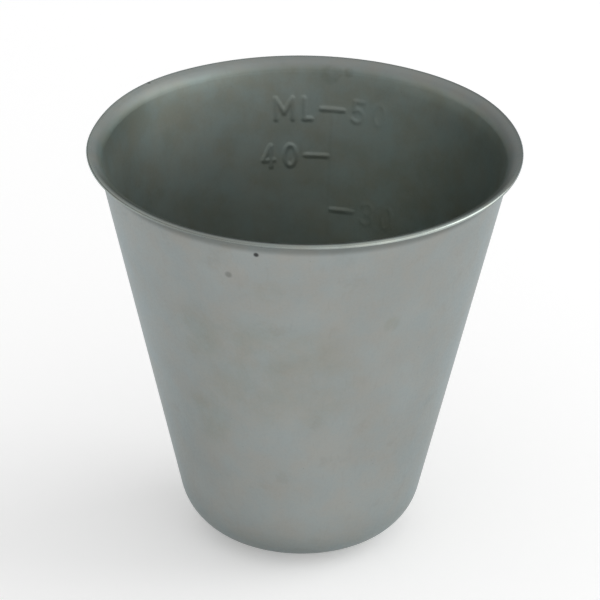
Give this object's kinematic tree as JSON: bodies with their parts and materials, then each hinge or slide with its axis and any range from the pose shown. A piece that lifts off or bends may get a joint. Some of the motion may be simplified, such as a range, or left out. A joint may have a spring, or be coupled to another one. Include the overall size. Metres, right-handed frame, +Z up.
{
  "type": "medicine cup",
  "caption": "Small tapered sheet-steel medicine cup with a turned-out lip, a round bottom corner and a millilitre scale embossed on the inner wall.",
  "frame": {"origin": "middle of the base, on the surface that the cup stands on", "axes": "+Z up along the cup's axis, +Y towards the wall that carries the scale, so the scale is read looking along +Y"},
  "size_m": [0.054, 0.054, 0.052],
  "materials": {
    "satin_steel": "satin"
  },
  "bodies": {
    "root": {"cup_shell": "satin_steel"}
  },
  "joints": []
}
